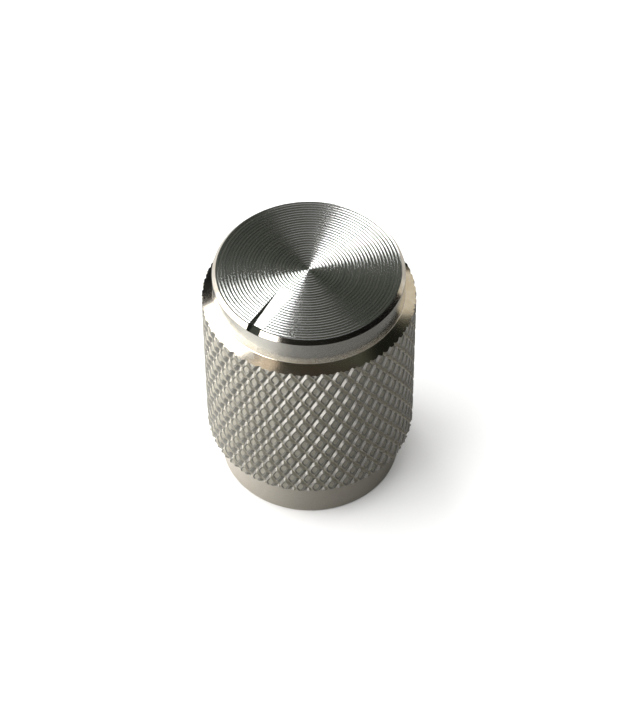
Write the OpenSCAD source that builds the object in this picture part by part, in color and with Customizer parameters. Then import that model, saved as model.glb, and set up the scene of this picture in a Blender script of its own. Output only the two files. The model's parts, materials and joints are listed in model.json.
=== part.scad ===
// Turned aluminium control knob with a diamond knurl, for a 6 mm shaft.
// Frame: origin on the shaft axis at the underside, +Z up, pointer slot towards -Y.

/* [Body] */
// Overall height, underside to top face
knob_h = 19; // [17.5:0.5:26]
// Diameter of the flat top face
face_d = 12.9; // [12.5:0.1:13.1]
// Diameter of the plain rim under the top face
rim_d = 13.4; // [13.2:0.1:14]
// Height of the plain rim, its chamfer included
rim_h = 2.2; // [1.2:0.1:3]
// Height of the polished chamfer round the top face
face_chamfer_h = 0.3; // [0.15:0.05:0.6]
// Height of the polished shoulder cone between rim and knurl
shoulder_h = 0.4; // [0.2:0.05:0.8]
// Diameter of the plain band under the knurl
band_d = 13; // [12.6:0.1:13.8]
// Height of the plain band
band_h = 3.7; // [2.5:0.1:4.5]
// Bevel that breaks the lower edge of the band
band_bevel = 0.15; // [0.05:0.05:0.25]

/* [Turned rings on the top face] */
// Pitch of the concentric tool marks, rounded so that they fill the face
ring_pitch = 0.23; // [0.2:0.01:0.5]
// Depth of the tool marks
ring_depth = 0.03; // [0.005:0.005:0.05]

/* [Knurl] */
// Diameter over the knurl crests
knurl_d = 15; // [14.8:0.1:18]
// Depth of the knurl grooves
knurl_depth = 0.2; // [0.12:0.01:0.36]
// Number of grooves that climb to the right
knurl_right = 43; // [36:1:52]
// Number of grooves that climb to the left
knurl_left = 41; // [36:1:52]
// Angle of the right-climbing grooves to the axis
knurl_angle_right = 27.5; // [24:0.5:36]
// Angle of the left-climbing grooves to the axis
knurl_angle_left = 33; // [24:0.5:36]
// Width of a right-climbing groove, as a share of its pitch
share_right = 0.46; // [0.3:0.02:0.6]
// Width of a left-climbing groove, as a share of its pitch
share_left = 0.4; // [0.3:0.02:0.6]
// Side of each diamond that its blunt tips take away, as a share of the pitch
tip_share = 0.16; // [0.04:0.02:0.3]
// Depth of the dimple in each diamond
dimple_depth = 0.04; // [0:0.01:0.06]
// Turns the whole pattern about the axis, in degrees
knurl_phase = 2.9; // [0:0.1:10]
// Moves the whole pattern down the axis, as a share of a diamond's height
knurl_drop = 0.09; // [0:0.01:0.99]

/* [Pointer slot] */
// Width of the slot
slot_w = 1.05; // [0.6:0.05:1.6]
// Distance from the axis to the inner end of the slot
slot_start = 2.3; // [1:0.1:4]
// Depth of the slot at the foot of its ramp and where it breaks out of the rim
slot_depth = 0.4; // [0.2:0.05:0.8]
// Length of the level stretch between the ramp and the rim
slot_level = 0.7; // [0.2:0.1:2]
// Sideways distance of the slot from the knob's centre line
slot_offset = -0.2; // [-0.5:0.05:0.5]

/* [Underside] */
// Diameter of the shaft that the knob fits
shaft_d = 6; // [4:0.5:6.5]
// Running clearance between shaft and bore, on the diameter
shaft_clearance = 0.1; // [0.05:0.01:0.2]
// Depth of the bore above the nut recess, less its drill point
bore_l = 12; // [9:0.5:12.5]
// Bevel at the mouth of the bore
mouth_bevel = 0.3; // [0.1:0.1:0.5]
// Included angle of the drill point
drill_angle = 118; // [110:1:140]
// Diameter of the recess that clears the panel nut
recess_d = 11.6; // [8:0.1:12]
// Depth of that recess
recess_h = 1.8; // [0.5:0.1:2.5]

/* [Grub screw] */
// Nominal diameter of the screw
screw_d = 3; // [2.5:0.5:4]
// How far the screw's outer end lies below the knurl crests
screw_sunk = 0.4; // [0.3:0.05:0.8]
// Height of the screw above the underside
screw_z = 7; // [6:0.5:10]
// Gap between the screw and its hole, on the diameter
screw_clearance = 0.04; // [0.02:0.01:0.1]
// Gap between the screw's tip and the shaft bore
tip_gap = 0.15; // [0.1:0.05:0.5]
// Width across flats of the hexagon socket
socket_af = 1.5; // [1.2:0.1:2]
// Depth of the hexagon socket
socket_depth = 1.5; // [1:0.1:2]

/* [Hidden] */
$fn = 180;

crest_r = knurl_d / 2;
root_r = crest_r - knurl_depth;
bore_r = (shaft_d + shaft_clearance) / 2;
shoulder_top = knob_h - rim_h;
knurl_top = shoulder_top - shoulder_h;
screw_in = bore_r + tip_gap;
screw_l = crest_r - screw_sunk - screw_in;
stock_over = 1;      // how far cutting shapes and bar stock run past the part
spare_rows = 4;      // rows of groove crossings beyond the knurl, over both ends

// Knurl lattice. A groove that climbs to the right has a whole number a all along
// it, and one that climbs to the left a whole number b, so a groove crossing is a
// pair of whole numbers and each diamond is the square between four of them.
rise_a = knurl_right * tan(knurl_angle_right) / (PI * knurl_d);
rise_b = knurl_left * tan(knurl_angle_left) / (PI * knurl_d);
lattice = knurl_right * rise_b + knurl_left * rise_a;
row_h = knurl_right / lattice;
rows = ceil((shoulder_top - band_h) / row_h) + spare_rows;
knurl_z0 = band_h - (1 + knurl_drop) * row_h;

function turn(a, b) = 360 * (a * rise_b + b * rise_a) / lattice;
function rise(a, b) = knurl_z0 + (b * knurl_right - a * knurl_left) / lattice;
function on_bar(a, b, r) =
    let (t = turn(a, b) + knurl_phase) [r * cos(t), r * sin(t), rise(a, b)];

// Column a holds its crossings from the lowest, low(a), upwards. One turn to the
// right adds knurl_right to a and knurl_left to b, so index() folds it back.
function low(a) = floor(a * knurl_left / knurl_right);
function index(a, b) =
    let (w = floor(a / knurl_right), c = a - w * knurl_right)
    c * rows + (b - w * knurl_left) - low(c);

// The top of the diamond above crossing (a, b): its rim from the left corner round
// by the blunt top, the right corner and the blunt foot, and then its dimple.
function diamond(a, b) =
    let (a0 = a + share_right / 2, a1 = a + 1 - share_right / 2,
         b0 = b + share_left / 2, b1 = b + 1 - share_left / 2)
    [on_bar(a0, b0, crest_r),
     on_bar(a0, b1 - tip_share, crest_r),
     on_bar(a0 + tip_share, b1, crest_r),
     on_bar(a1, b1, crest_r),
     on_bar(a1, b0 + tip_share, crest_r),
     on_bar(a1 - tip_share, b0, crest_r),
     on_bar(a + 0.5, b + 0.5, crest_r - dimple_depth)];

// Bar stock with the knurl rolled into it, and plain ends above and below.
module knurled_bar() {
    crossings = [for (a = [0:knurl_right - 1]) for (k = [0:rows - 1])
        on_bar(a, low(a) + k, root_r)];
    cells = [for (a = [0:knurl_right - 1])
        for (b = [low(a + 1):low(a) + rows - 2]) [a, b]];
    tops = [for (c = cells) each diamond(c[0], c[1])];
    // Staircase of crossings that ends the knurl, first below and then above
    foot = [for (a = [0:knurl_right - 1]) for (b = [low(a):low(a + 1)]) [a, b]];
    head = [for (a = [0:knurl_right - 1]) each concat(
        [[a, low(a) + rows - 1]],
        [for (b = [low(a) + 1:1:low(a + 1)]) [a + 1, b + rows - 2]])];
    n = len(foot);
    first_top = len(crossings);
    first_end = first_top + len(tops);
    ends = [for (g = foot) let (q = on_bar(g[0], g[1], root_r)) [q[0], q[1], -stock_over],
            for (g = head) let (q = on_bar(g[0], g[1], root_r))
                [q[0], q[1], knob_h + stock_over]];
    cell_faces = [for (k = [0:len(cells) - 1])
        let (a = cells[k][0], b = cells[k][1],
             left = index(a, b), top = index(a, b + 1),
             right = index(a + 1, b + 1), bottom = index(a + 1, b),
             p = first_top + 7 * k)
        each concat(
            [[left, top, p + 1], [left, p + 1, p], [top, p + 2, p + 1],
             [top, right, p + 3], [top, p + 3, p + 2],
             [right, bottom, p + 4], [right, p + 4, p + 3], [bottom, p + 5, p + 4],
             [bottom, left, p], [bottom, p, p + 5]],
            [for (s = [0:5]) [p + s, p + (s + 1) % 6, p + 6]])];
    end_faces = [for (s = [0:n - 1])
        let (t = (s + 1) % n, f = first_end,
             fs = index(foot[s][0], foot[s][1]),
             ft = index(foot[t][0], foot[t][1]),
             hs = index(head[s][0], head[s][1]),
             ht = index(head[t][0], head[t][1]))
        each [[f + s, fs, ft], [f + s, ft, f + t],
              [hs, f + n + s, f + n + t], [hs, f + n + t, ht]]];
    caps = [[for (s = [0:n - 1]) first_end + s],
            [for (s = [n - 1:-1:0]) first_end + n + s]];
    polyhedron(points = concat(crossings, tops, ends),
               faces = concat(cell_faces, end_faces, caps), convexity = 4);
}

// Everything that the lathe leaves: rings, chamfer, rim, shoulder, band and bore.
module turned_profile() {
    face_r = face_d / 2;
    rings = round(face_r / ring_pitch);
    pitch = face_r / rings;
    drill_h = bore_r / tan(drill_angle / 2);
    rotate_extrude() polygon(concat(
        [for (k = [rings:-1:1]) each
            [[k * pitch, knob_h], [(k - 0.5) * pitch, knob_h - ring_depth]]],
        [[0, knob_h],
         [0, recess_h + bore_l + drill_h],
         [bore_r, recess_h + bore_l],
         [bore_r, recess_h + mouth_bevel],
         [bore_r + mouth_bevel, recess_h],
         [recess_d / 2, recess_h],
         [recess_d / 2, 0],
         [band_d / 2 - band_bevel, 0],
         [band_d / 2, band_bevel],
         [band_d / 2, band_h],
         [crest_r + stock_over, band_h],
         [crest_r + stock_over, knurl_top - stock_over * shoulder_h / (crest_r - rim_d / 2)],
         [rim_d / 2, shoulder_top],
         [rim_d / 2, knob_h - face_chamfer_h]]));
}

// What the cutter clears: a ramp that starts in the face at slot_start, then a
// level stretch that breaks out through the chamfer.
module pointer_slot() {
    reach = rim_d / 2 - slot_start;
    ramp = reach - slot_level;
    fall = slot_depth / ramp;
    over = reach + stock_over;
    translate([slot_offset + slot_w / 2, -slot_start, knob_h])
        rotate([90, 0, -90])
            linear_extrude(slot_w)
                polygon([[-stock_over, stock_over * fall],
                         [ramp, -slot_depth],
                         [over, -slot_depth],
                         [over, stock_over],
                         [-stock_over, stock_over]]);
}

module along_screw() {
    translate([0, screw_in, screw_z]) rotate([-90, 0, 0]) children();
}

module knob_body() color("silver") difference() {
    intersection() {
        knurled_bar();
        turned_profile();
    }
    pointer_slot();
    along_screw() translate([0, 0, -bore_r])
        cylinder(d = screw_d, h = crest_r + stock_over);
}

module grub_screw() color("dimgray") along_screw() {
    body_r = (screw_d - screw_clearance) / 2;
    difference() {
        cylinder(r = body_r, h = screw_l);
        translate([0, 0, screw_l - socket_depth])
            cylinder(d = socket_af / cos(30), h = socket_depth + stock_over, $fn = 6);
    }
}

knob_body();
grub_screw();
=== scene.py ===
"""Looks of the turned aluminium control knob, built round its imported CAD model.

The knob's body is replaced by a finer mesh of the same form, and the grub screw by one with
its thread. Shapes are worked out in millimetres in the row's frame, and all else is in metres.
"""

import json
import math

import bmesh
import bpy
from mathutils import Matrix, Vector


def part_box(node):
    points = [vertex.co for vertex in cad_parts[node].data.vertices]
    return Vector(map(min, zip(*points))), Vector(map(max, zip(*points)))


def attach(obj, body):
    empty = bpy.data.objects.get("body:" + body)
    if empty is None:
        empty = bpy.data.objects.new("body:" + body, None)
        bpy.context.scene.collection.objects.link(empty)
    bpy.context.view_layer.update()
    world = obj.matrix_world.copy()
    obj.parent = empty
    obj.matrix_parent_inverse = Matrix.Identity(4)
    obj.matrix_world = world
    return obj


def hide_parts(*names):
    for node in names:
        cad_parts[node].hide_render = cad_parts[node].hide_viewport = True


MM = 0.001

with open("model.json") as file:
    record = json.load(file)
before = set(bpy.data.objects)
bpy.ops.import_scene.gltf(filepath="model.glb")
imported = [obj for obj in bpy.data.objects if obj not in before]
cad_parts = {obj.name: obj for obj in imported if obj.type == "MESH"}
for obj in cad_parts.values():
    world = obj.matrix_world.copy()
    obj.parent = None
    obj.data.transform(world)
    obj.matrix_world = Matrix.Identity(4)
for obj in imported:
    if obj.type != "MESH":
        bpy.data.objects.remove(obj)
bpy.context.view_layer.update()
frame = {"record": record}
_, body_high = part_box("knob_body")
mounts = {m["name"]: m for m in frame["record"]["mounts"]}

# Sizes in millimetres. Those that the frame holds are read from it.
KNOB_H = body_high.z / MM
CREST_R = 7.5  # of the bar, over the knurl
FACE_R = 6.45  # of the top face, inside its chamfer
CHAMFER_H = 0.3
RIM_R = 6.7
RIM_H = 2.2  # from the top face down to the shoulder
SHOULDER_H = 0.4  # how far the shoulder falls from the rim to the knurl
FILLET = 0.05  # between the rim and the shoulder
FILLET_STEPS = 5
BAND_R = 6.5
BAND_H = 3.7
BAND_BEVEL = 0.15
RING_PITCH = 0.23  # of the tool's marks on the top face, before it is fitted to whole rings
RING_DEPTH = 0.02
RING_SHAPE = ((0.25, 0.72), (0.5, 1.0), (0.75, 0.72), (1.0, 0.0))  # shares of (pitch, depth)
BORE_R = mounts["shaft_bore"]["dims"]["r_mm"]
BORE_L = 12.0
MOUTH_BEVEL = 0.3
DRILL_ANGLE = 118.0
RECESS_R = 5.8
RECESS_H = 1.8
SLOT_W = 1.05
SLOT_START = 2.3  # from the axis
SLOT_DEPTH = 0.4  # at its deep end
SLOT_LEVEL = 0.7  # length of the level stretch at the deep end
SLOT_OFFSET = -0.2
SCREW_R = 1.5  # of the grub screw's hole
SCREW_Z = 7.0
SCREW_BEVEL = 0.25
THREAD_PITCH = 0.5
THREAD_DEPTH = 0.27
THREAD_SLOPE = 2.4  # of the flanks, in shares of the depth over shares of the pitch
THREAD_CREST = 0.15  # share of the depth that the flat crest cuts off
SOCKET_AF = 1.5
SOCKET_DEPTH = 1.5
SOCKET_CHAMFER = 0.15
SOCKET_TIP_R = 0.01  # where the drill point at the socket's bottom ends
SHOULDER_TOP = KNOB_H - RIM_H
KNURL_TOP = SHOULDER_TOP - SHOULDER_H
STOCK_OVER = 1.0  # how far cutting shapes and bar stock run past the part

# Knurl, as in the part's source: grooves each way round, their angles to the axis, the turn
# of the pattern in degrees and how far it sits below the band's edge, in rows.
KNURL_RIGHT = 43
KNURL_LEFT = 41
KNURL_ANGLE_RIGHT = math.radians(27.5)
KNURL_ANGLE_LEFT = math.radians(33)
KNURL_PHASE = 2.9
KNURL_DROP = 0.09
SPARE_ROWS = 4  # rows of groove crossings beyond the knurl, over both ends

# Between four groove crossings lie a pad and the groove walls round it. Places and widths are
# shares of the way from one groove to the next, as (across the right, across the left), and
# depths are in millimetres.
BOTTOM_AT = (0.08, -0.06)  # the grooves lean, so their bottoms lie beside the lattice's lines
KNURL_DEPTH = 0.13
CROSSING_ROUND = 6  # exponent of the outline that the flat crossings leave for the walls
PAD_MIDDLE = (0.525, 0.445)
PAD_HALF = (0.30, 0.37)
PAD_ROUND = 3.5  # exponent of the pad's outline: 2 is an ellipse, large is a diamond
PAD_LIP = 0.02
DIMPLE_WALL = 0.10
DIMPLE_DEPTH = 0.05

# How finely the meshes are divided.
LATHE_STEPS = 192  # round the axis
OUTLINE_STEPS = (-1, -0.82, -0.55, -0.2, 0.2, 0.55, 0.82)  # along one side of a pad's outline
HOLE_STEPS = 64
SCREW_STEPS = 60
THREAD_STEPS = 10  # rings of points in one turn of the thread
TINY = 1e-6
KEY_DIGITS = 5  # two points of the lattice are one where they agree to this many decimals

# Zones of the knob's surface. A face's material index is its zone's place in this list.
ZONES = (
    "spun",
    "polished",
    "rim",
    "satin",
    "knurl",
    "groove",
    # The next zone is painted shade: a darker copy of the groove walls' material, on the groove
    # walls that face down right and on the dimples' walls.
    "torn",
    "milled",
    "level",
    "inside",
)
ROLLED_ZONES = ("knurl", "groove", "torn")

# Edges are sharp from these angles up.
SHARP_ROLLED = math.radians(16)
SHARP_TURNED = math.radians(26)
SHARP_SCREW = math.radians(30)

ANISO_TURN = 0.25  # lays the highlight of marks round the axis across them
NOISE_SPREAD = (0.3, 0.7)  # the range that most of a noise texture's values fill
NOISE_MIDDLE = (0.35, 0.65)  # a narrower range, for more contrast
NOISE_PEAKS = (0.5, 0.75)  # its upper part only

# Camera, fitted to the turned edges in the photograph. Azimuth 0 looks along +Y.
CAMERA_AZIMUTH = math.radians(33.5)
CAMERA_ELEVATION = math.radians(49.84)
CAMERA_ROLL = math.radians(-0.546)
CAMERA_DISTANCE = 193.8 * MM
CAMERA_AIM = Vector((0, 0, 8 * MM))
CAMERA_CLIP = (0.01, 10)
IMAGE_H = 720
FOCAL_PX = 2690
SENSOR = 36
CENTRE_OFFSET_PX = (-3.29, 12.26)

FLOOR_HALF = 3.0
FLOOR_TONE = 0.9
FLOOR_ROUGHNESS = 0.9
FILL_SIZE, FILL_HEIGHT, FILL_POWER = 1.5, 1.0, 14

# From here on, azimuths are in degrees and counted from the camera's own, to its right.
# Soft cards that the metal mirrors, all at one distance.
CARD_DISTANCE = 0.6
WHITE = (1.0, 1.0, 1.0)
WARM = (1.0, 0.84, 0.66)
CREAM = (1.0, 0.93, 0.78)
CARDS = (
    {"name": "window", "at": (-88, 30), "size": (0.84, 0.58), "power": 5.6},
    {"name": "side_window", "at": (-45, 22), "size": (0.20, 0.30), "power": 0.7},
    {"name": "warm_ceiling", "at": (-80, 66), "size": (0.24, 0.10), "power": 0.05, "colour": WARM},
    {"name": "back_wall", "at": (180, 20), "size": (0.13, 0.34), "power": 0.04},
    {"name": "skylight", "at": (-145, 64), "size": (0.14, 0.31), "power": 1.0, "turn": -38},
    {"name": "far_wall", "at": (128, 18), "size": (0.40, 0.36), "power": 0.28, "colour": CREAM},
)

# The room's colour by the height of a direction, 0 at eye level and 1 overhead.
ROOM = (
    (0.50, (0.004, 0.004, 0.004)),
    (0.72, (0.058, 0.064, 0.050)),
    (0.88, (0.058, 0.064, 0.050)),
    (0.97, (0.036, 0.029, 0.022)),
)
# A darker place in the room: where, how far round (outer, inner) and how much light is left.
DARK_AZIMUTH, DARK_ELEVATION = 104, 52
DARK_HALF = (18, 8)
DARK_SHARE = 0.15

# The table that the metal mirrors, with painted light and shade in its tone: pale on one side, a
# painted shadow on the dim side, with a paler patch of painted light.
TABLE_R = 0.3
TABLE_STEPS = 64
TABLE_LIFT = 0.05 * MM
TABLE_DIM_AZIMUTH = 42
TABLE_PALE = 0.48
TABLE_DIM = 0.15
TABLE_TURN = -0.7  # cosine of the angle from the dim side at which the table is fully pale
TABLE_FALL = 1.3  # how steeply the tone falls off from the pale side
# Painted light and shade by distance: the tone is raised next to the knob, lowered further out and
# raised again far off.
TABLE_BY_DISTANCE = (  # (distance from the axis, what the tone is multiplied by)
    (7 * MM, 1.5),
    (11 * MM, 0.88),
    (21 * MM, 0.56),
    (42 * MM, 0.95),
)
# The patch is a painted pool of light on the table.
PATCH_AZIMUTH = -60
PATCH_HALF = (8, 55)  # fully there to the first angle from its azimuth, gone from the second
PATCH_FROM = (18 * MM, 21.5 * MM)  # its near edge, measured along its azimuth
PATCH_TONE = 0.35


def zone(name):
    """The material index of a zone."""
    return ZONES.index(name)


def link(obj):
    """Puts a new object into the scene."""
    bpy.context.scene.collection.objects.link(obj)
    return obj


def new_mesh(name, points, faces, zones=None, smooth=True):
    """A mesh object from points in millimetres. zones holds a material index for each face."""
    mesh = bpy.data.meshes.new(name)
    mesh.from_pydata([[c * MM for c in p] for p in points], [], faces)
    if zones is not None:
        mesh.polygons.foreach_set("material_index", zones)
    if smooth:
        mesh.shade_smooth()
    mesh.update()
    return link(bpy.data.objects.new(name, mesh))


def lathe(name, profile, zones):
    """Turns a closed profile of (r, z) points about the axis. zones[k] is the zone of the
    band from point k to the next."""
    points, rows = [], []
    for r, z in profile:
        rows.append(len(points))
        turns = [0] if r == 0 else range(LATHE_STEPS)
        for s in turns:
            a = 2 * math.pi * s / LATHE_STEPS
            points.append((r * math.cos(a), r * math.sin(a), z))
    faces, kinds = [], []
    for k in range(len(profile)):
        n = (k + 1) % len(profile)
        r0, r1 = profile[k][0], profile[n][0]
        if r0 == 0 and r1 == 0:
            continue
        for s in range(LATHE_STEPS):
            t = (s + 1) % LATHE_STEPS
            face = [rows[k] + (s if r0 else 0), rows[k] + (t if r0 else 0)]
            face += [rows[n] + (t if r1 else 0), rows[n] + (s if r1 else 0)]
            faces.append(list(dict.fromkeys(face)))
            kinds.append(zone(zones[k]))
    return new_mesh(name, points, faces, kinds)


def turned_profile():
    """The outline that the lathe leaves, from the centre of the face out, down and back."""
    outline, zones = [], []

    def add(r, z, name):
        outline.append((r, z))
        zones.append(name)

    rings = round(FACE_R / RING_PITCH)
    pitch = FACE_R / rings
    add(0, KNOB_H, "spun")
    for k in range(rings):
        for share, fall in RING_SHAPE:
            add((k + share) * pitch, KNOB_H - fall * RING_DEPTH, "spun")
    zones[-1] = "polished"  # the chamfer
    add(RIM_R, KNOB_H - CHAMFER_H, "rim")
    slope = SHOULDER_H / (CREST_R - RIM_R)
    for k in range(FILLET_STEPS + 1):
        t = k / FILLET_STEPS
        out, up = FILLET * t**2, FILLET * (1 - t) ** 2
        add(RIM_R + out, SHOULDER_TOP + up - slope * out, "polished")
    add(CREST_R + STOCK_OVER, KNURL_TOP - STOCK_OVER * slope, "satin")
    add(CREST_R + STOCK_OVER, BAND_H, "satin")
    add(BAND_R, BAND_H, "satin")
    add(BAND_R, BAND_BEVEL, "polished")
    add(BAND_R - BAND_BEVEL, 0, "satin")
    add(RECESS_R, 0, "inside")
    add(RECESS_R, RECESS_H, "inside")
    add(BORE_R + MOUTH_BEVEL, RECESS_H, "inside")
    add(BORE_R, RECESS_H + MOUTH_BEVEL, "inside")
    add(BORE_R, RECESS_H + BORE_L, "inside")
    add(0, RECESS_H + BORE_L + BORE_R / math.tan(math.radians(DRILL_ANGLE / 2)), "inside")
    return outline, zones


def square_outline():
    """Points round a square from -1 to 1 in both directions, as (x, y)."""
    side = [(f, -1) for f in OUTLINE_STEPS]
    points = []
    for _ in range(4):
        points += side
        side = [(-y, x) for x, y in side]
    return points


def pad_loops():
    """The outlines from the bottoms of the grooves to a pad's dimple, as lists of (u, v, fall).

    u and v are places between the grooves and fall is the depth below the crests. Each outline
    is a superellipse of the exponent given, or the full square where there is none.
    """
    square = square_outline()
    floor_middle = (BOTTOM_AT[0] + 0.5, BOTTOM_AT[1] + 0.5)
    stages = [
        (floor_middle, (0.5, 0.5), None, KNURL_DEPTH),
        (floor_middle, (0.5, 0.5), CROSSING_ROUND, KNURL_DEPTH),
    ]
    for inset, fall in ((0, 0), (PAD_LIP, 0), (PAD_LIP + DIMPLE_WALL, DIMPLE_DEPTH)):
        half = (PAD_HALF[0] - inset, PAD_HALF[1] - inset)
        stages.append((PAD_MIDDLE, half, PAD_ROUND, fall))
    loops = []
    for middle, half, exponent, fall in stages:
        loop = []
        for x, y in square:
            reach = 1
            if exponent:
                reach = (abs(x) ** exponent + abs(y) ** exponent) ** (-1 / exponent)
            loop.append((middle[0] + half[0] * x * reach, middle[1] + half[1] * y * reach, fall))
        loops.append(loop)
    return loops


def knurled_bar():
    """Bar stock with the knurl rolled into it, laid out on the lattice of groove crossings.

    A groove that climbs to the right has a whole number a all along it, and one that climbs to
    the left a whole number b. One turn round the bar adds KNURL_RIGHT to a and KNURL_LEFT to b.
    """
    circumference = 2 * math.pi * CREST_R
    rise_a = KNURL_RIGHT * math.tan(KNURL_ANGLE_RIGHT) / circumference
    rise_b = KNURL_LEFT * math.tan(KNURL_ANGLE_LEFT) / circumference
    lattice = KNURL_RIGHT * rise_b + KNURL_LEFT * rise_a
    row_h = KNURL_RIGHT / lattice
    rows = math.ceil((SHOULDER_TOP - BAND_H) / row_h) + SPARE_ROWS
    z0 = BAND_H - (1 + KNURL_DROP) * row_h
    loops = pad_loops()
    n = len(loops[0])
    # Zones between one outline and the next: the flat crossings, the groove walls, the lip
    # and the dimple's wall, each facing down left, down right, up right and up left.
    # The darker zone on the walls facing down right and all round the dimple's wall is painted
    # shade.
    bands = (
        ("knurl", "knurl", "knurl", "knurl"),
        ("knurl", "torn", "knurl", "groove"),
        ("knurl", "knurl", "knurl", "knurl"),
        ("torn", "torn", "torn", "torn"),
    )
    points, index = [], {}

    def low(a):
        """The lowest crossing's b in column a."""
        return a * KNURL_LEFT // KNURL_RIGHT

    def vertex(a, b, fall):
        """The index of the point at (a, b), the same from both of its sides."""
        if a > KNURL_RIGHT - TINY:
            a, b = a - KNURL_RIGHT, b - KNURL_LEFT
        key = (round(a, KEY_DIGITS), round(b, KEY_DIGITS))
        if key not in index:
            turn = 2 * math.pi * (a * rise_b + b * rise_a) / lattice + math.radians(KNURL_PHASE)
            z = z0 + (b * KNURL_RIGHT - a * KNURL_LEFT) / lattice
            r = CREST_R - fall
            index[key] = len(points)
            points.append((r * math.cos(turn), r * math.sin(turn), z))
        return index[key]

    faces, zones = [], []
    for a in range(KNURL_RIGHT):
        for b in range(low(a + 1), low(a) + rows - 1):
            rims = [[vertex(a + u, b + v, fall) for u, v, fall in loop] for loop in loops]
            for k, band in enumerate(bands):
                for s in range(n):
                    t = (s + 1) % n
                    corners = (rims[k][s], rims[k][t], rims[k + 1][t], rims[k + 1][s])
                    face = list(dict.fromkeys(corners))
                    if len(face) > 2:  # where two outlines touch there is none
                        faces.append(face)
                        zones.append(zone(band[s * 4 // n]))
            middle = vertex(a + PAD_MIDDLE[0], b + PAD_MIDDLE[1], DIMPLE_DEPTH)
            for s in range(n):
                faces.append([rims[-1][s], rims[-1][(s + 1) % n], middle])
                zones.append(zone("knurl"))
    bar = new_mesh("knurled_bar", points, faces, zones)
    close_ends(bar.data)
    return bar


def close_ends(mesh):
    """Runs both open edges of a sleeve out straight, past the part's ends, and caps them."""
    bm = bmesh.new()
    bm.from_mesh(mesh)
    edges = [e for e in bm.edges if e.is_boundary]
    made = bmesh.ops.extrude_edge_only(bm, edges=edges)
    for v in (g for g in made["geom"] if isinstance(g, bmesh.types.BMVert)):
        up = v.co.z > KNOB_H / 2 * MM
        v.co.z = (KNOB_H + STOCK_OVER if up else -STOCK_OVER) * MM
    bmesh.ops.holes_fill(bm, edges=[e for e in bm.edges if e.is_boundary])
    bmesh.ops.recalc_face_normals(bm, faces=bm.faces)
    bm.to_mesh(mesh)
    bm.free()


def prism_faces(n):
    """Faces of a prism whose points are one end's n corners and then the other end's."""
    ends = [list(range(n)), list(range(2 * n - 1, n - 1, -1))]
    return ends + [[(k + 1) % n, k, k + n, (k + 1) % n + n] for k in range(n)]


def slot_cutter():
    """What the slot's cutter clears: a ramp down from the face, then a level stretch."""
    reach = RIM_R - SLOT_START
    ramp_l = reach - SLOT_LEVEL
    fall = SLOT_DEPTH / ramp_l
    side = [
        (-STOCK_OVER, STOCK_OVER * fall),
        (ramp_l, -SLOT_DEPTH),
        (reach + STOCK_OVER, -SLOT_DEPTH),
        (reach + STOCK_OVER, STOCK_OVER),
        (-STOCK_OVER, STOCK_OVER),
    ]
    points = []
    for x in (SLOT_OFFSET - SLOT_W / 2, SLOT_OFFSET + SLOT_W / 2):
        points += [(x, -SLOT_START - y, KNOB_H + z) for y, z in side]
    faces = prism_faces(len(side))
    zones = [zone("milled")] * len(faces)
    zones[3] = zone("level")  # after the two ends and the ramp
    return new_mesh("slot_cutter", points, faces, zones, smooth=False)


def screw_hole_cutter():
    """The grub screw's hole, from the shaft bore out through the knurl at the back."""
    points = []
    for y in (0.0, CREST_R + STOCK_OVER):
        for s in range(HOLE_STEPS):
            a = 2 * math.pi * s / HOLE_STEPS
            points.append((SCREW_R * math.cos(a), y, SCREW_Z + SCREW_R * math.sin(a)))
    faces = prism_faces(HOLE_STEPS)
    return new_mesh("screw_hole_cutter", points, faces, [zone("inside")] * len(faces))


def rings_along_y(name, rings, smooth=True):
    """A closed tube through rings of as many points each, with flat ends."""
    n = len(rings[0])
    points = [p for ring in rings for p in ring]
    faces = []
    for k in range(len(rings) - 1):
        row, above = k * n, (k + 1) * n
        for s in range(n):
            t = (s + 1) % n
            faces.append([row + s, row + t, above + t, above + s])
    faces.append(list(range(n)))
    faces.append([(len(rings) - 1) * n + s for s in range(n)])
    return new_mesh(name, points, faces, smooth=smooth)


def threaded_rod(name, radius, start, end):
    """A rod along Y with a thread round it and bevelled ends, from start to end."""
    steps = round((end - start) / THREAD_PITCH * THREAD_STEPS)
    rings = []
    for k in range(steps + 1):
        y = start + (end - start) * k / steps
        bevel = SCREW_BEVEL - min(y - start, end - y)
        ring = []
        for s in range(SCREW_STEPS):
            turn = s / SCREW_STEPS
            phase = (y / THREAD_PITCH + turn) % 1
            share = THREAD_SLOPE * abs(phase - 0.5) - THREAD_CREST
            r = radius - max(THREAD_DEPTH * min(1, max(0, share)), bevel)
            a = 2 * math.pi * turn
            ring.append((r * math.cos(a), y, SCREW_Z + r * math.sin(a)))
        rings.append(ring)
    return rings_along_y(name, rings)


def socket_cutter(end):
    """The screw's hexagon socket, with a drill point at its bottom and a wider mouth at end."""
    corner_r = SOCKET_AF / 2 / math.cos(math.pi / 6)
    bottom = end - SOCKET_DEPTH
    stages = (
        (bottom - corner_r / 3, SOCKET_TIP_R),
        (bottom, corner_r),
        (end - SOCKET_CHAMFER, corner_r),
        (end + SOCKET_CHAMFER, corner_r + 2 * SOCKET_CHAMFER),
    )
    rings = []
    for y, r in stages:
        angles = [math.pi * s / 3 for s in range(6)]
        rings.append([(r * math.cos(a), y, SCREW_Z + r * math.sin(a)) for a in angles])
    return rings_along_y("socket_cutter", rings, smooth=False)


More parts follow.
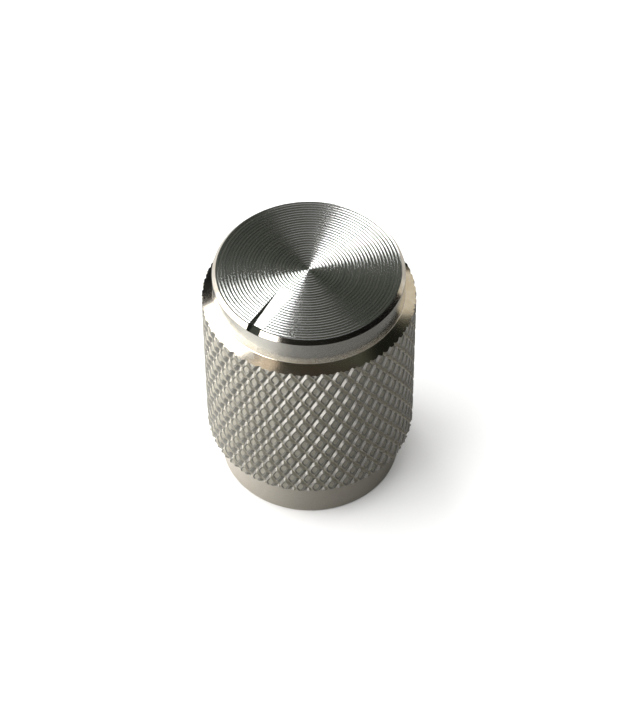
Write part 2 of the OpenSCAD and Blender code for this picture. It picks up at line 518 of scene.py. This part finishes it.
def combine(target, cutter, operation):
    """Applies a Boolean with cutter to target, and deletes cutter. Both need their materials
    first, because the solver keeps each face's own."""
    for obj in (target, cutter):
        bm = bmesh.new()
        bm.from_mesh(obj.data)
        bmesh.ops.recalc_face_normals(bm, faces=bm.faces)
        bm.to_mesh(obj.data)
        bm.free()
    modifier = target.modifiers.new("cut", "BOOLEAN")
    modifier.object = cutter
    modifier.operation = operation
    modifier.solver = "MANIFOLD"
    graph = bpy.context.evaluated_depsgraph_get()
    made = bpy.data.meshes.new_from_object(target.evaluated_get(graph))
    old = target.data
    target.modifiers.clear()
    target.data = made
    bpy.data.meshes.remove(old)
    bpy.data.objects.remove(cutter)


def mark_edges(mesh):
    """Smooth shading with sharp edges between zones and at corners."""
    bm = bmesh.new()
    bm.from_mesh(mesh)
    rolled = [zone(name) for name in ROLLED_ZONES]
    for f in bm.faces:
        f.smooth = True
    for e in bm.edges:
        if len(e.link_faces) != 2:
            e.smooth = False
            continue
        one, two = e.link_faces
        both = one.material_index in rolled and two.material_index in rolled
        limit = SHARP_ROLLED if both else SHARP_TURNED
        same = one.material_index == two.material_index
        e.smooth = same and e.calc_face_angle(0.0) < limit
    bm.to_mesh(mesh)
    bm.free()


def add_node(tree, kind, inputs=None, **settings):
    """A new node with its settings, and its inputs set to values or linked to sockets."""
    node = tree.nodes.new(kind)
    for name, value in settings.items():
        setattr(node, name, value)
    for key, value in (inputs or {}).items():
        if isinstance(value, bpy.types.NodeSocket):
            tree.links.new(value, node.inputs[key])
        else:
            node.inputs[key].default_value = value
    return node


def calculate(tree, operation, *values):
    """A Math node's result."""
    inputs = dict(enumerate(values))
    return add_node(tree, "ShaderNodeMath", inputs, operation=operation).outputs[0]


def vector_number(tree, operation, *values):
    """The result of a Vector Math node that gives a number."""
    inputs = dict(enumerate(values))
    node = add_node(tree, "ShaderNodeVectorMath", inputs, operation=operation)
    return node.outputs["Value"]


def remap(tree, value, low, high, to_low, to_high, smooth=False):
    """Takes low..high to to_low..to_high, clamped."""
    kind = "SMOOTHSTEP" if smooth else "LINEAR"
    inputs = {0: value, 1: low, 2: high, 3: to_low, 4: to_high}
    return add_node(tree, "ShaderNodeMapRange", inputs, interpolation_type=kind).outputs[0]


def ramp(tree, value, stops):
    """A colour that runs straight between (value, colour) stops, the first of them above 0."""
    last = stops[-1][0]
    node = add_node(tree, "ShaderNodeValToRGB", {0: calculate(tree, "DIVIDE", value, last)})
    elements = node.color_ramp.elements
    while len(elements) < len(stops):
        elements.new(0.5)
    for element, (place, colour) in zip(elements, stops):
        element.position = place / last
        element.color = (*colour, 1)
    return node.outputs[0]


def cylinder_coordinates(tree):
    """Radius and height of the shaded point in millimetres, and its object coordinates."""
    place = add_node(tree, "ShaderNodeTexCoord").outputs["Object"]
    parts = add_node(tree, "ShaderNodeSeparateXYZ", {0: place})
    flat = add_node(tree, "ShaderNodeCombineXYZ", {0: parts.outputs[0], 1: parts.outputs[1]})
    length = vector_number(tree, "LENGTH", flat.outputs[0])
    radius = calculate(tree, "MULTIPLY", length, 1 / MM)
    height = calculate(tree, "MULTIPLY", parts.outputs[2], 1 / MM)
    return radius, height, place


def lines_along(tree, distance, per_mm):
    """Uneven lines across a distance in millimetres, such as a cutting tool leaves: 0 to 1."""
    where = calculate(tree, "MULTIPLY", distance, per_mm)
    inputs = {"W": where, "Scale": 1.0, "Detail": 3.0, "Roughness": 0.6}
    return add_node(tree, "ShaderNodeTexNoise", inputs, noise_dimensions="1D").outputs[0]


def cloud(tree, place, per_mm):
    """Soft mottling, 0 to 1."""
    inputs = {"Vector": place, "Scale": per_mm / MM, "Detail": 3.0, "Roughness": 0.55}
    return add_node(tree, "ShaderNodeTexNoise", inputs).outputs[0]


def tint(tree, pattern, dark, light, spread=NOISE_SPREAD):
    """A colour between two, by a noise pattern. Sockets 6 and 7 are the Mix node's colours."""
    inputs = {0: remap(tree, pattern, *spread, 0, 1), 6: (*dark, 1), 7: (*light, 1)}
    return add_node(tree, "ShaderNodeMix", inputs, data_type="RGBA").outputs[2]


def gloss(tree, pattern, low, high):
    """A roughness between two, by a noise pattern."""
    return remap(tree, pattern, *NOISE_SPREAD, low, high)


def bump(tree, height, microns):
    """A normal from a height pattern that is so many microns deep."""
    inputs = {"Height": height, "Distance": microns * 1e-6, "Strength": 1.0}
    return add_node(tree, "ShaderNodeBump", inputs).outputs[0]


def metal(name):
    """A metallic material: its node tree and its shader."""
    material = bpy.data.materials.new(name)
    material.use_nodes = True
    tree = material.node_tree
    shader = tree.nodes["Principled BSDF"]
    shader.inputs["Metallic"].default_value = 1.0
    return material, tree, shader


def brush_round(tree, shader, amount):
    """Anisotropic gloss of marks that run round the axis."""
    shader.inputs["Anisotropic"].default_value = amount
    shader.inputs["Anisotropic Rotation"].default_value = ANISO_TURN
    tangent = add_node(tree, "ShaderNodeTangent", direction_type="RADIAL", axis="Z")
    tree.links.new(tangent.outputs[0], shader.inputs["Tangent"])


def wire(tree, shader, colour=None, roughness=None, normal=None):
    """Links what is given to the shader."""
    for name, value in (("Base Color", colour), ("Roughness", roughness), ("Normal", normal)):
        if value is not None:
            tree.links.new(value, shader.inputs[name])


def spun_face():
    """The faced top: fine uneven marks between the deeper rings."""
    material, tree, shader = metal("spun")
    radius, _, _ = cylinder_coordinates(tree)
    fine = lines_along(tree, radius, per_mm=14.0)
    broad = lines_along(tree, radius, per_mm=2.2)
    wire(
        tree,
        shader,
        tint(tree, broad, dark=(0.70, 0.71, 0.69), light=(0.86, 0.86, 0.84)),
        gloss(tree, fine, low=0.16, high=0.24),
        bump(tree, fine, microns=2.0),
    )
    brush_round(tree, shader, amount=0.75)
    return material


def polished_edge():
    """Cut with a sharp tool: the chamfer, the shoulder and the band's bevel."""
    material, tree, shader = metal("polished")
    _, height, place = cylinder_coordinates(tree)
    fine = lines_along(tree, height, per_mm=60.0)
    stain = cloud(tree, place, per_mm=1.3)
    wire(
        tree,
        shader,
        tint(tree, stain, dark=(0.82, 0.74, 0.62), light=(0.90, 0.84, 0.75), spread=NOISE_MIDDLE),
        gloss(tree, fine, low=0.12, high=0.19),
        bump(tree, fine, microns=0.4),
    )
    brush_round(tree, shader, amount=0.5)
    return material


def satin_wall(name, dark, light, low=0.28, high=0.38, brushed=0.6):
    """Turned walls with a dull grain round the axis: the rim, the band and the inside."""
    material, tree, shader = metal(name)
    _, height, place = cylinder_coordinates(tree)
    fine = lines_along(tree, height, per_mm=22.0)
    speck = cloud(tree, place, per_mm=9.0)
    halves = [calculate(tree, "MULTIPLY", pattern, 0.5) for pattern in (fine, speck)]
    grain = calculate(tree, "ADD", *halves)
    wire(
        tree,
        shader,
        tint(tree, grain, dark, light, spread=NOISE_MIDDLE),
        gloss(tree, speck, low, high),
        bump(tree, grain, microns=1.5),
    )
    brush_round(tree, shader, brushed)
    return material


def knurl_pads():
    """The dull tops of the knurl, and the groove walls that the wheels left dull."""
    material, tree, shader = metal("knurl")
    _, _, place = cylinder_coordinates(tree)
    speck = cloud(tree, place, per_mm=6.0)
    wire(
        tree,
        shader,
        tint(tree, speck, dark=(0.62, 0.585, 0.50), light=(0.77, 0.735, 0.63)),
        gloss(tree, speck, low=0.48, high=0.62),
        bump(tree, speck, microns=6.0),
    )
    return material


def groove_wall(name, colour, low, high):
    """The groove walls: one side glossy, burnished by the wheels, the other rougher and with a
    darker base colour that is painted shade.
    """
    material, tree, shader = metal(name)
    _, _, place = cylinder_coordinates(tree)
    speck = cloud(tree, place, per_mm=6.0)
    shader.inputs["Base Color"].default_value = (*colour, 1)
    wire(
        tree,
        shader,
        roughness=gloss(tree, speck, low, high),
        normal=bump(tree, speck, microns=3.0),
    )
    return material


def milled_slot(name, low, high):
    """The pointer slot: its ramp and walls, or the smoother level end."""
    material, tree, shader = metal(name)
    _, _, place = cylinder_coordinates(tree)
    speck = cloud(tree, place, per_mm=5.0)
    wire(
        tree,
        shader,
        tint(tree, speck, dark=(0.74, 0.74, 0.72), light=(0.86, 0.86, 0.84)),
        gloss(tree, speck, low, high),
        bump(tree, speck, microns=0.3),
    )
    return material


def black_oxide():
    """Blackened steel, slightly oily, with a few worn specks."""
    material, tree, shader = metal("black_oxide")
    _, _, place = cylinder_coordinates(tree)
    speck = cloud(tree, place, per_mm=4.0)
    wire(
        tree,
        shader,
        tint(tree, speck, (0.06, 0.06, 0.065), (0.16, 0.155, 0.15), spread=NOISE_PEAKS),
        gloss(tree, speck, low=0.28, high=0.42),
        bump(tree, speck, microns=1.5),
    )
    return material


def zone_materials():
    """Every zone's material, by its name in ZONES."""
    return {
        "spun": spun_face(),
        "polished": polished_edge(),
        "rim": satin_wall("rim", (0.68, 0.66, 0.59), (0.80, 0.78, 0.71), 0.18, 0.26, brushed=0.3),
        "satin": satin_wall("satin", (0.70, 0.65, 0.56), (0.82, 0.77, 0.68)),
        "knurl": knurl_pads(),
        "groove": groove_wall("groove", (0.65, 0.63, 0.58), 0.14, 0.24),
        # Painted shade: a darker base colour for the groove walls that face down right and for the
        # dimples' walls.
        "torn": groove_wall("torn", (0.38, 0.37, 0.33), 0.26, 0.36),
        "milled": milled_slot("milled", 0.21, 0.27),
        "level": milled_slot("level", 0.07, 0.11),
        "inside": satin_wall("inside", (0.5, 0.48, 0.45), (0.6, 0.58, 0.55)),
    }


def knob_body():
    """The turned and knurled body, with its slot, bore and the hole for the grub screw."""
    materials = zone_materials()
    body = knurled_bar()
    turned = lathe("turned", *turned_profile())
    slot = slot_cutter()
    hole = screw_hole_cutter()
    for obj in (body, turned, slot, hole):
        for name in ZONES:
            obj.data.materials.append(materials[name])
    combine(body, turned, "INTERSECT")
    combine(body, slot, "DIFFERENCE")
    combine(body, hole, "DIFFERENCE")
    body.name = "knob_body_turned"
    body.data.name = body.name
    mark_edges(body.data)
    return body


def grub_screw():
    """The screw with its thread and socket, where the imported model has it."""
    low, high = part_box("grub_screw")
    start, end = low.y / MM, high.y / MM
    screw = threaded_rod("grub_screw_threaded", (high.x - low.x) / MM / 2, start, end)
    socket = socket_cutter(end)
    look = black_oxide()
    for obj in (screw, socket):
        obj.data.materials.append(look)
    combine(screw, socket, "DIFFERENCE")
    screw.data.shade_smooth()
    screw.data.set_sharp_from_angle(angle=SHARP_SCREW)
    return screw


def back_direction(azimuth, elevation):
    """Unit vector from the object towards azimuth and elevation, in radians."""
    flat = math.cos(elevation)
    return Vector((math.sin(azimuth) * flat, -math.cos(azimuth) * flat, math.sin(elevation)))


def room_direction(azimuth, elevation=0):
    """The same in degrees, with the azimuth counted from the camera's own, to its right."""
    return back_direction(CAMERA_AZIMUTH + math.radians(azimuth), math.radians(elevation))


def add_camera():
    """The photograph's camera."""
    back = back_direction(CAMERA_AZIMUTH, CAMERA_ELEVATION)
    data = bpy.data.cameras.new("camera")
    data.sensor_width = SENSOR
    data.lens = FOCAL_PX * SENSOR / IMAGE_H
    data.shift_x = -CENTRE_OFFSET_PX[0] / IMAGE_H
    data.shift_y = CENTRE_OFFSET_PX[1] / IMAGE_H
    data.clip_start, data.clip_end = CAMERA_CLIP
    camera = link(bpy.data.objects.new("camera", data))
    right = Vector((math.cos(CAMERA_AZIMUTH), math.sin(CAMERA_AZIMUTH), 0))
    up = back.cross(right)
    c, s = math.cos(CAMERA_ROLL), math.sin(CAMERA_ROLL)
    axes = Matrix((c * right + s * up, -s * right + c * up, back)).transposed()
    camera.matrix_world = Matrix.Translation(CAMERA_AIM + back * CAMERA_DISTANCE) @ axes.to_4x4()
    bpy.context.scene.camera = camera


def add_card(name, at, size, power, colour=WHITE, turn=0):
    """A rectangular soft light at (azimuth, elevation), turned about its own axis."""
    data = bpy.data.lights.new(name, "AREA")
    data.shape = "RECTANGLE"
    data.size, data.size_y = size
    data.energy = power
    data.color = colour
    light = link(bpy.data.objects.new(name, data))
    back = room_direction(*at)
    light.location = CAMERA_AIM + back * CARD_DISTANCE
    light.rotation_mode = "QUATERNION"
    spin = Matrix.Rotation(math.radians(turn), 4, "Z").to_quaternion()
    light.rotation_quaternion = back.to_track_quat("Z", "Y") @ spin


def add_fill():
    """An overhead light that no reflection shows, so that the floor stays pale."""
    data = bpy.data.lights.new("fill", "AREA")
    data.shape, data.size, data.energy = "SQUARE", FILL_SIZE, FILL_POWER
    light = link(bpy.data.objects.new("fill", data))
    light.location.z = FILL_HEIGHT
    light.visible_glossy = False


def add_floor():
    """The plain pale floor that the knob stands on."""
    mesh = bpy.data.meshes.new("floor")
    size = FLOOR_HALF
    corners = [(-size, -size, 0), (size, -size, 0), (size, size, 0), (-size, size, 0)]
    mesh.from_pydata(corners, [], [(0, 1, 2, 3)])
    floor = link(bpy.data.objects.new("floor", mesh))
    material = bpy.data.materials.new("floor")
    material.use_nodes = True
    shader = material.node_tree.nodes["Principled BSDF"]
    shader.inputs["Base Color"].default_value = (FLOOR_TONE, FLOOR_TONE, FLOOR_TONE, 1)
    shader.inputs["Roughness"].default_value = FLOOR_ROUGHNESS
    mesh.materials.append(material)


def painted_table_shading(tree):
    """The table's painted light and shade, by direction and distance: a painted shadow towards the
    dim side and a painted pool of light in the patch. Its own X points to the dim side.
    """
    place = add_node(tree, "ShaderNodeTexCoord").outputs["Object"]
    direction = add_node(tree, "ShaderNodeVectorMath", {0: place}, operation="NORMALIZE")
    direction = direction.outputs["Vector"]
    away = vector_number(tree, "LENGTH", place)
    to_dim = add_node(tree, "ShaderNodeSeparateXYZ", {0: direction}).outputs[0]
    pale = calculate(tree, "POWER", remap(tree, to_dim, TABLE_TURN, 1, 1, 0), TABLE_FALL)
    shade = remap(tree, pale, 0, 1, TABLE_DIM, TABLE_PALE)
    by_distance = ramp(tree, away, [(d, (share,) * 3) for d, share in TABLE_BY_DISTANCE])
    turn = math.radians(PATCH_AZIMUTH - TABLE_DIM_AZIMUTH)
    middle = (math.cos(turn), math.sin(turn), 0)
    to_patch = vector_number(tree, "DOT_PRODUCT", direction, middle)
    along = calculate(tree, "MULTIPLY", away, to_patch)
    inner, outer = (math.cos(math.radians(half)) for half in PATCH_HALF)
    across_share = remap(tree, to_patch, outer, inner, 0, PATCH_TONE, smooth=True)
    along_share = remap(tree, along, *PATCH_FROM, 0, 1, smooth=True)
    patch = calculate(tree, "MULTIPLY", across_share, along_share)
    return calculate(tree, "ADD", calculate(tree, "MULTIPLY", shade, by_distance), patch)


def add_table():
    """The table as the metal mirrors it, a sheet whose tone is painted light and shade. Only
    reflections see it, so the floor in the picture stays plain."""
    mesh = bpy.data.meshes.new("table")
    bm = bmesh.new()
    bmesh.ops.create_circle(bm, cap_ends=True, radius=TABLE_R, segments=TABLE_STEPS)
    bm.to_mesh(mesh)
    bm.free()
    table = link(bpy.data.objects.new("table", mesh))
    dim = room_direction(TABLE_DIM_AZIMUTH)
    table.rotation_euler.z = math.atan2(dim.y, dim.x)
    table.location.z = TABLE_LIFT
    table.visible_camera = table.visible_diffuse = table.visible_shadow = False
    table.visible_transmission = table.visible_volume_scatter = False
    material = bpy.data.materials.new("table")
    material.use_nodes = True
    tree = material.node_tree
    shader = tree.nodes["Principled BSDF"]
    tone = painted_table_shading(tree)
    grey = add_node(tree, "ShaderNodeCombineXYZ", {0: tone, 1: tone, 2: tone})
    wire(tree, shader, colour=grey.outputs[0])
    shader.inputs["Roughness"].default_value = 1.0
    mesh.materials.append(material)


def set_world():
    """The unlit room: nearly black at eye level, a little paler above, with a darker place."""
    world = bpy.data.worlds.new("world")
    bpy.context.scene.world = world
    world.use_nodes = True
    tree = world.node_tree
    place = add_node(tree, "ShaderNodeTexCoord").outputs["Generated"]
    up = add_node(tree, "ShaderNodeSeparateXYZ", {0: place}).outputs[2]
    dark = room_direction(DARK_AZIMUTH, DARK_ELEVATION)
    near = vector_number(tree, "DOT_PRODUCT", place, tuple(dark))
    outer, inner = (math.cos(math.radians(half)) for half in DARK_HALF)
    share = remap(tree, near, outer, inner, 1, DARK_SHARE, smooth=True)
    background = tree.nodes["Background"]
    tree.links.new(ramp(tree, up, ROOM), background.inputs["Color"])
    tree.links.new(share, background.inputs["Strength"])


add_camera()
add_floor()
add_table()
set_world()
add_fill()
for card in CARDS:
    add_card(**card)
bpy.context.scene.view_settings.view_transform = "Standard"

body = knob_body()
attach(body, "root")
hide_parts("knob_body")
screw = grub_screw()
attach(screw, "root")
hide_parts("grub_screw")
